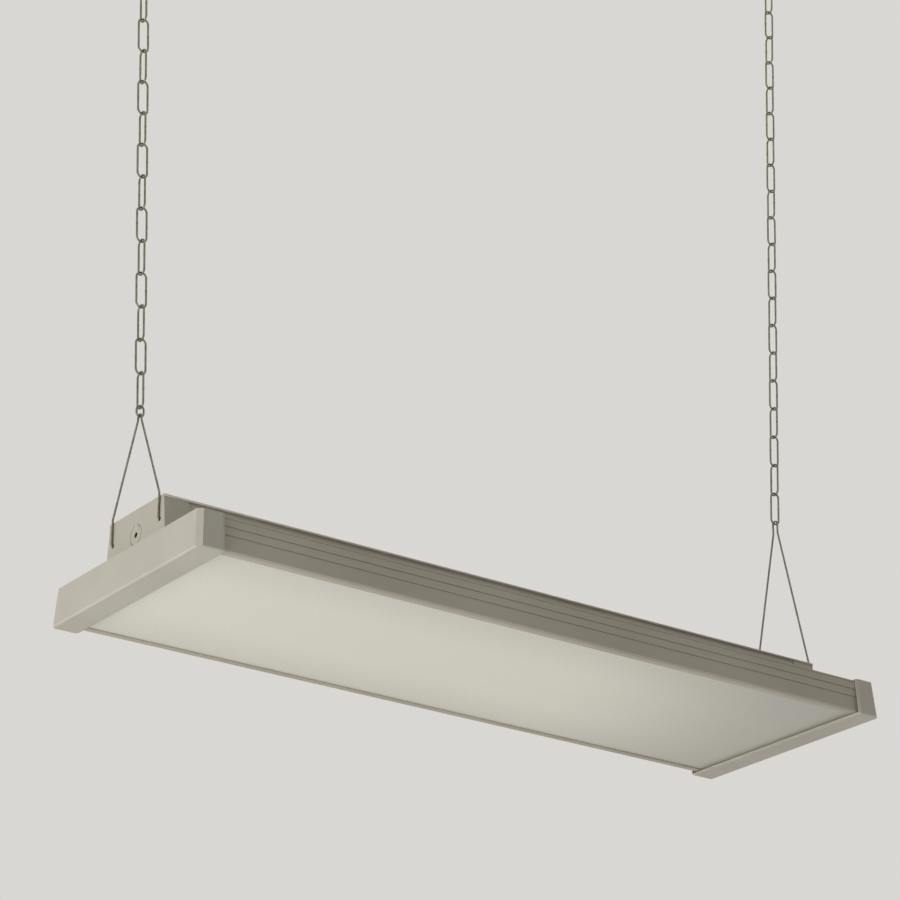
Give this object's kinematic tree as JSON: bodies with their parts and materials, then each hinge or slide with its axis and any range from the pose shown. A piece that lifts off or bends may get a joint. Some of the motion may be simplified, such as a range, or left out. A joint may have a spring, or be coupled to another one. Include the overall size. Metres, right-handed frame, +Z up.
{
  "type": "hanging shop light",
  "caption": "Long linear LED shop light with a diffusing lens, hung level under ceiling hooks by wire V-hooks and two lengths of oval-link chain.",
  "frame": {"origin": "on the ceiling, midway between the two ceiling hooks", "axes": "+X towards the light's right end, +Y towards its rear side, +Z up"},
  "size_m": [1.2832, 0.3896, 1.4523],
  "materials": {
    "hook_steel": "zinc plated, dull",
    "chain_steel": "zinc plated, slightly olive",
    "vhook_wire": "zinc plated drawn wire",
    "rail_aluminium": "extruded, warm white powder coat",
    "cap_plastic": "fine moulded grain",
    "lens_acrylic": "prismatic diffuser, lit from behind",
    "pan_enamel": "white reflector enamel",
    "housing_paint": "warm white powder coat",
    "driver_case": "satin",
    "board_aluminium": "white solder mask",
    "led_phosphor": "phosphor",
    "connector_nylon": "moulded nylon",
    "supply_pvc": "PVC insulation",
    "output_pvc": "PVC insulation",
    "grommet_rubber": "moulded rubber",
    "ground_green": "green zinc",
    "zinc_screws": "zinc plated"
  },
  "bodies": {
    "ceiling": {"left_ceiling_hook": "hook_steel", "right_ceiling_hook": "hook_steel"},
    "left_top_link": {"left_top_link": "chain_steel"},
    "right_top_link": {"right_top_link": "chain_steel"},
    "left_chain": {"left_chain": "chain_steel"},
    "right_chain": {"right_chain": "chain_steel"},
    "connecting_ring": {"left_connecting_ring": "chain_steel"},
    "light": {"left_v_hook": "vhook_wire", "right_v_hook": "vhook_wire", "front_rail": "rail_aluminium", "rear_rail": "rail_aluminium", "left_end_cap": "cap_plastic", "right_end_cap": "cap_plastic", "lens": "lens_acrylic", "reflector_pan": "pan_enamel", "housing_channel": "housing_paint", "housing_cover": "housing_paint", "left_end_plate": "housing_paint", "right_end_plate": "housing_paint", "left_driver": "driver_case", "right_driver": "driver_case", "front_left_board": "board_aluminium", "front_right_board": "board_aluminium", "rear_left_board": "board_aluminium", "rear_right_board": "board_aluminium", "led_packages": "led_phosphor", "board_connectors": "connector_nylon", "supply_connectors": "connector_nylon", "supply_leads": "supply_pvc", "output_leads": "output_pvc", "grommets": "grommet_rubber", "ground_screw": "ground_green", "end_cap_screws": "zinc_screws", "end_plate_screws": "zinc_screws", "cover_screws": "zinc_screws", "channel_screws": "zinc_screws", "driver_screws": "zinc_screws", "board_screws": "zinc_screws"}
  },
  "joints": [
    {"name": "side_swing", "type": "hinge", "parent": "ceiling", "child": "left_top_link", "pos_m": [-0.63016, 0, -0.035], "axis": [1, 0, 0], "range_deg": [-15, 15]},
    {"name": "right_side_swing", "type": "hinge", "parent": "ceiling", "child": "right_top_link", "pos_m": [0.63, 0, -0.035], "axis": [1, 0, 0], "range_deg": [-15, 15]},
    {"name": "end_swing", "type": "hinge", "parent": "left_top_link", "child": "left_chain", "pos_m": [-0.6282, 0, -0.08596], "axis": [0, 1, 0], "range_deg": [-8, 8]},
    {"name": "right_end_swing", "type": "hinge", "parent": "right_top_link", "child": "right_chain", "pos_m": [0.6277, 0, -0.08495], "axis": [0, 1, 0], "range_deg": [-9, 9]},
    {"name": "ring_turn", "type": "hinge", "parent": "left_chain", "child": "connecting_ring", "pos_m": [-0.5868, 0, -1.15941], "axis": [0, 1, 0], "range_deg": [-8.7, 8.7]},
    {"name": "light_rock", "type": "hinge", "parent": "connecting_ring", "child": "light", "pos_m": [-0.5868, 0, -1.17216], "axis": [0.9949, 0, 0.101], "range_deg": [-12, 12]}
  ],
  "couplings": [
    {"joint": "right_side_swing", "follows": "side_swing", "ratio": 1},
    {"joint": "right_end_swing", "follows": "end_swing", "ratio": 1.1228},
    {"joint": "ring_turn", "follows": "end_swing", "ratio": -1.0744}
  ]
}
